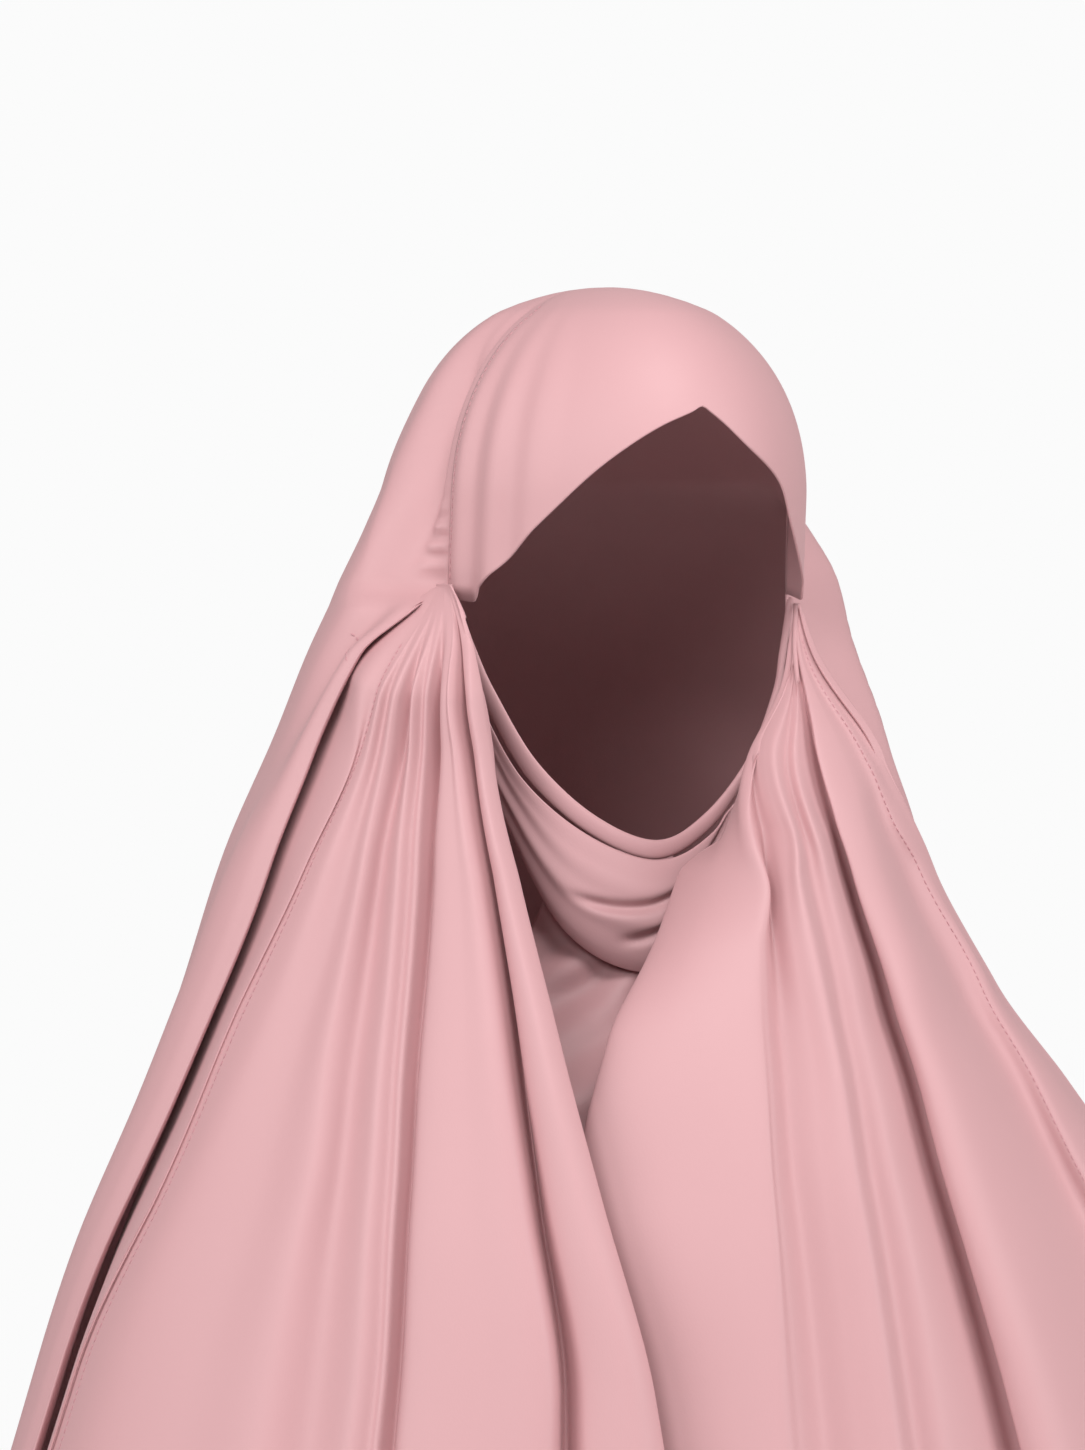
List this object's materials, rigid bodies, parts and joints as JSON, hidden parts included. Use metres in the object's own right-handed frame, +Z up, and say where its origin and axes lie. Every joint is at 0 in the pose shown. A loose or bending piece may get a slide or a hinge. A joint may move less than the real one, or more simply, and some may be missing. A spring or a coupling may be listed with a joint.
{
  "type": "khimar veil",
  "caption": "Long overhead veil with a fitted brow band, an open face, a cowl under the chin and two crossed front drapes, held as if worn.",
  "frame": {"origin": "inside the crown, where the veil rests on the top of a head", "axes": "+Z up, the face opening looks along -Y, the wearer's right side is -X"},
  "size_m": [0.6543, 0.4931, 0.8003],
  "materials": {
    "hood_veil": "matt satin crepe",
    "forehead_band": "matt satin crepe",
    "right_front_drape": "matt satin crepe",
    "left_front_drape": "matt satin crepe",
    "chin_cowl": "matt satin crepe",
    "chin_hem": "matt satin crepe",
    "throat_panel": "matt satin crepe"
  },
  "bodies": {
    "root": {"hood_veil": "hood_veil", "forehead_band": "forehead_band", "right_front_drape": "right_front_drape", "left_front_drape": "left_front_drape", "chin_cowl": "chin_cowl", "chin_hem": "chin_hem", "throat_panel": "throat_panel"}
  },
  "joints": []
}
